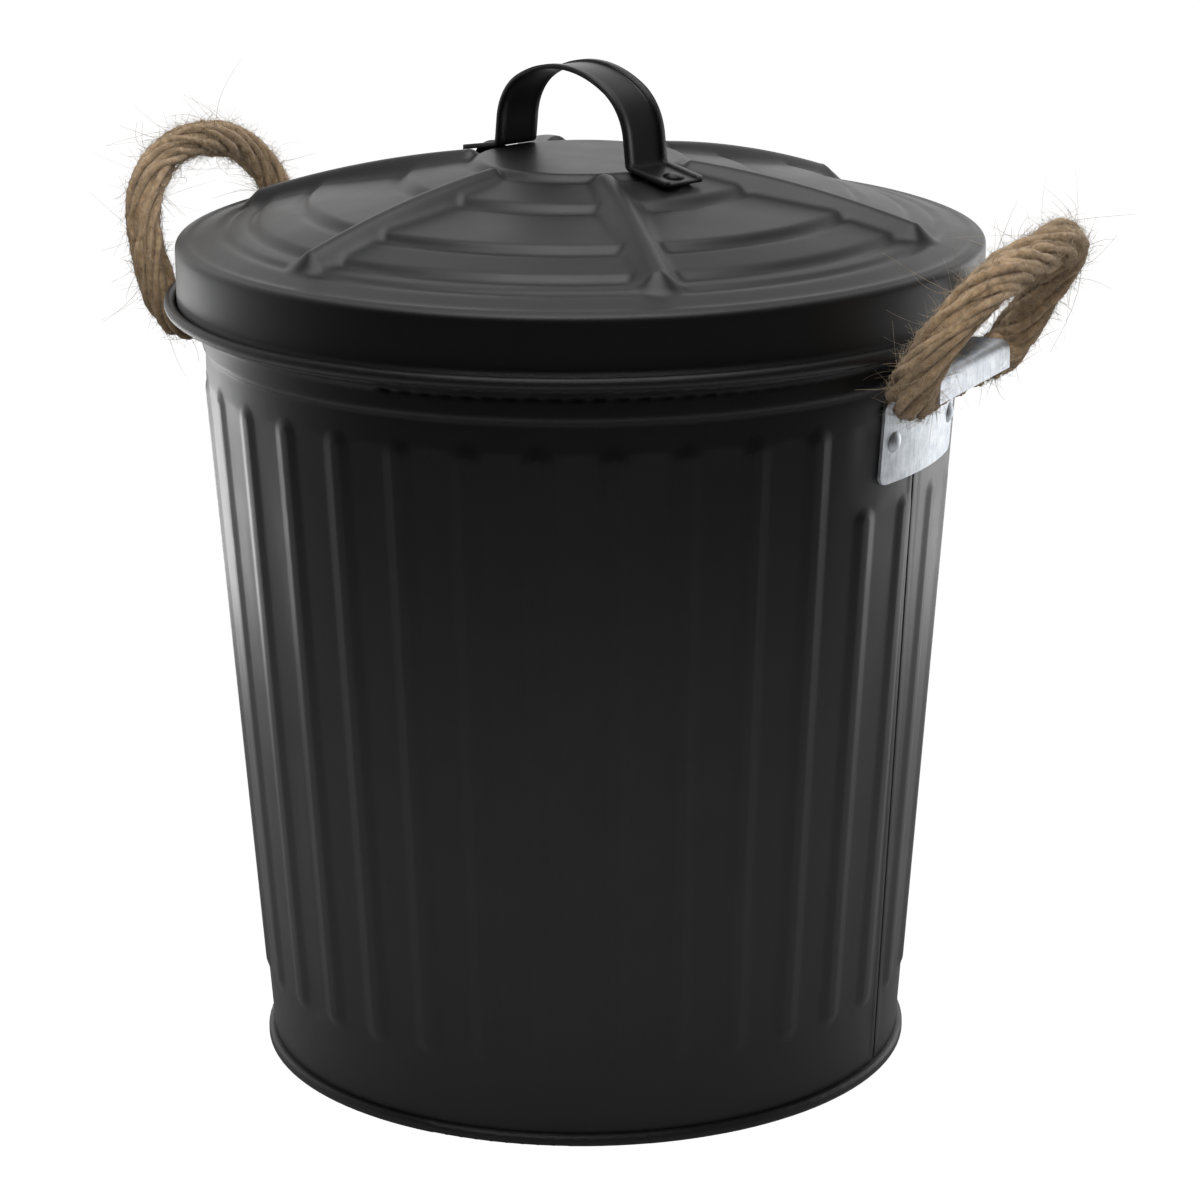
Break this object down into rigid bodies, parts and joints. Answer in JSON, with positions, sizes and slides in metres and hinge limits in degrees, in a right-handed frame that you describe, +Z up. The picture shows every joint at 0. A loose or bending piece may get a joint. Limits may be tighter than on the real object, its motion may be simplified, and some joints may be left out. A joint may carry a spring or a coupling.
{
  "type": "trash can with lid",
  "caption": "Round tapered sheet metal can with vertical flutes, a rolled rim, a stepped lift-off lid with radial ribs and a strap handle, and rope side handles in folded brackets.",
  "frame": {"origin": "middle of the can's base, on the floor that it stands on", "axes": "+Z up along the can's axis; +X and -X point out through the two rope brackets; the can's front in the picture lies about 27 degrees from -Y towards +X"},
  "size_m": [0.3423, 0.287, 0.3496],
  "materials": {
    "black_paint": "satin",
    "black_paint_handle": "satin",
    "galvanized_steel": "satin",
    "steel_wire": "satin",
    "jute_rope": "matte"
  },
  "bodies": {
    "can": {"can_wall": "black_paint", "rim_wire": "steel_wire", "bottom_pan": "black_paint", "bracket_right": "galvanized_steel", "bracket_left": "galvanized_steel", "bracket_rivet_right_1": "galvanized_steel", "bracket_rivet_right_2": "galvanized_steel", "bracket_rivet_left_1": "galvanized_steel", "bracket_rivet_left_2": "galvanized_steel"},
    "rope_right": {"rope_handle_right": "jute_rope"},
    "rope_left": {"rope_handle_left": "jute_rope"},
    "lid": {"lid_pan": "black_paint", "lid_handle": "black_paint_handle", "lid_rivet_1": "black_paint_handle", "lid_rivet_2": "black_paint_handle"}
  },
  "joints": [
    {"name": "lid_lift", "type": "slide", "parent": "can", "child": "lid", "axis": [0, 0, 1], "range_m": [0, 0.15]},
    {"name": "rope_right_swing", "type": "hinge", "parent": "can", "child": "rope_right", "pos_m": [0.13897, 0, 0.253], "axis": [0, 1, 0], "range_deg": [-18, 147]},
    {"name": "rope_left_swing", "type": "hinge", "parent": "can", "child": "rope_left", "pos_m": [-0.13897, 0, 0.253], "axis": [0, -1, 0], "range_deg": [-2, 163]}
  ]
}
